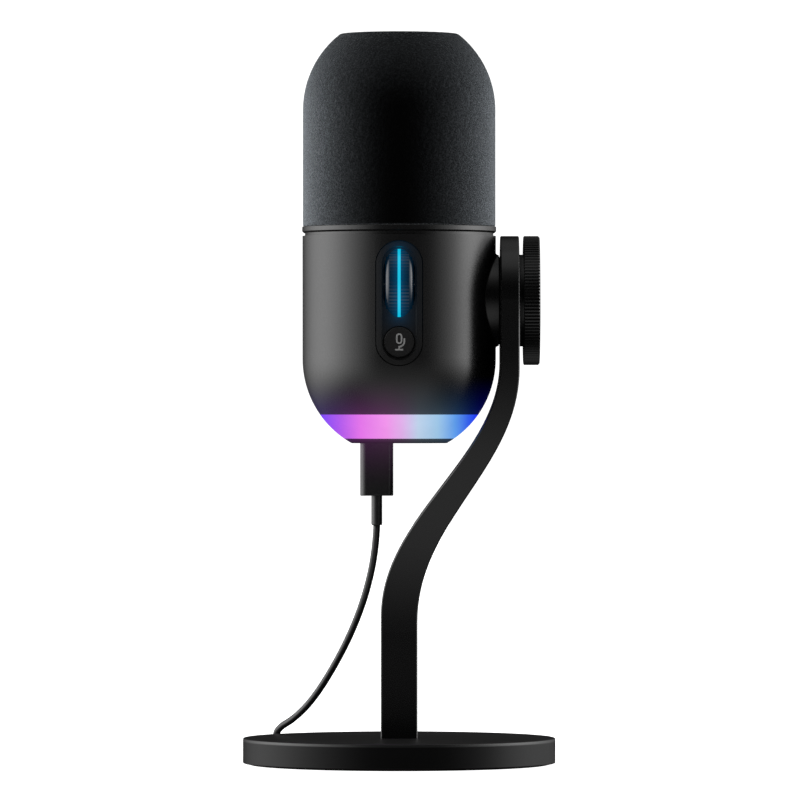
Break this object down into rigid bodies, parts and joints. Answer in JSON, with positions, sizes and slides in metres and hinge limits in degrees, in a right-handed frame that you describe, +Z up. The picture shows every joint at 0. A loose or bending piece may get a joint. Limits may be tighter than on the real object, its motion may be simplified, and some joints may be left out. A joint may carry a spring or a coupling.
{
  "type": "desktop microphone",
  "caption": "Upright desktop microphone with foam windscreen, light band, gain wheel and mute button, on a curved arm with clamp knob and a round base.",
  "frame": {"origin": "on the table under the centre of the round base", "axes": "+Z up, the microphone's front faces -Y, the arm and clamp knob are on +X"},
  "size_m": [0.1136, 0.1757, 0.2655],
  "materials": {
    "satin_metal": "satin powder coat",
    "steel": "plain steel",
    "foot_rubber": "matte rubber",
    "screw_steel": "zinc plated",
    "brass_part": "turned brass",
    "washer_rubber": "matte",
    "washer_plastic": "satin",
    "cord": "smooth matte jacket",
    "tie": "woven hook-and-loop",
    "plug": "satin overmould",
    "plug_metal": "nickel plated",
    "knob": "satin black, knurled rim",
    "body": "satin soft-touch",
    "panel": "satin",
    "light": "translucent diffuser, lit in violet, pink and blue",
    "trim": "satin grey",
    "foam": "open-cell acoustic foam",
    "grille": "matte black",
    "inner_plastic": "moulded",
    "diaphragm": "metallised film",
    "circuit_board": "solder mask",
    "chips": "moulded epoxy",
    "led": "clear lens",
    "wheel": "semi-gloss, ribbed",
    "wheel_light": "translucent, lit in cyan",
    "button": "satin",
    "icon": "printed light grey"
  },
  "bodies": {
    "stand": {"base_cover": "satin_metal", "base_weight": "steel", "base_foot_pad": "foot_rubber", "weight_screws": "screw_steel", "arm_screws": "screw_steel", "arm": "satin_metal", "arm_bushing": "brass_part", "friction_washer": "washer_rubber", "usb_cord": "cord", "cord_coil": "cord", "cord_tail": "cord", "cord_tie": "tie", "far_plug_body": "plug", "far_plug_shell": "plug_metal", "far_strain_relief": "plug"},
    "clamp_washer": {"clamp_washer": "washer_plastic"},
    "clamp_knob": {"knob_grip": "knob", "knob_stud": "screw_steel", "knob_cap": "knob"},
    "microphone": {"body_shell": "body", "control_panel": "panel", "light_band": "light", "bottom_cap": "body", "cap_screws": "screw_steel", "trim_ring": "trim", "foam_windscreen": "foam", "grille": "grille", "capsule_deck": "inner_plastic", "deck_screws": "screw_steel", "capsule_mount": "washer_rubber", "capsule_housing": "brass_part", "capsule_diaphragm": "diaphragm", "capsule_backplate": "brass_part", "capsule_clamp_ring": "brass_part", "capsule_board": "circuit_board", "chassis": "inner_plastic", "pivot_insert": "brass_part", "insert_screws": "screw_steel", "main_board": "circuit_board", "board_components": "chips", "board_screws": "screw_steel", "control_board": "circuit_board", "control_posts": "inner_plastic", "mute_switch": "chips", "wheel_bracket": "inner_plastic", "wheel_encoder": "chips", "light_board": "circuit_board", "leds": "led", "usb_port": "plug_metal", "usb_plug_body": "plug", "usb_plug_shell": "plug_metal", "usb_strain_relief": "plug"},
    "gain_wheel": {"wheel_rim_left": "wheel", "wheel_rim_right": "wheel", "wheel_light_ring": "wheel_light", "wheel_axle": "screw_steel"},
    "mute_button": {"mute_button": "button", "mute_icon": "icon"}
  },
  "joints": [
    {"name": "mic_tilt", "type": "hinge", "parent": "stand", "child": "microphone", "pos_m": [0, 0, 0.16856], "axis": [1, 0, 0], "range_deg": [-90, 90]},
    {"name": "washer_travel", "type": "slide", "parent": "stand", "child": "clamp_washer", "axis": [1, 0, 0], "range_m": [0, 0.0019]},
    {"name": "knob_turn", "type": "hinge", "parent": "clamp_washer", "child": "clamp_knob", "pos_m": [0, 0, 0.16856], "axis": [1, 0, 0], "range_deg": [0, 540]},
    {"name": "wheel_turn", "type": "hinge", "parent": "microphone", "child": "gain_wheel", "pos_m": [0, -0.0191, 0.1744], "axis": [1, 0, 0], "continuous": true},
    {"name": "mute_press", "type": "slide", "parent": "microphone", "child": "mute_button", "axis": [0, 1, 0], "range_m": [0, 0.0006], "stiffness_N_per_m": 800, "springref_m": -0.0006}
  ],
  "couplings": [
    {"joint": "washer_travel", "follows": "knob_turn", "m_per_rad": 0.00019894}
  ]
}
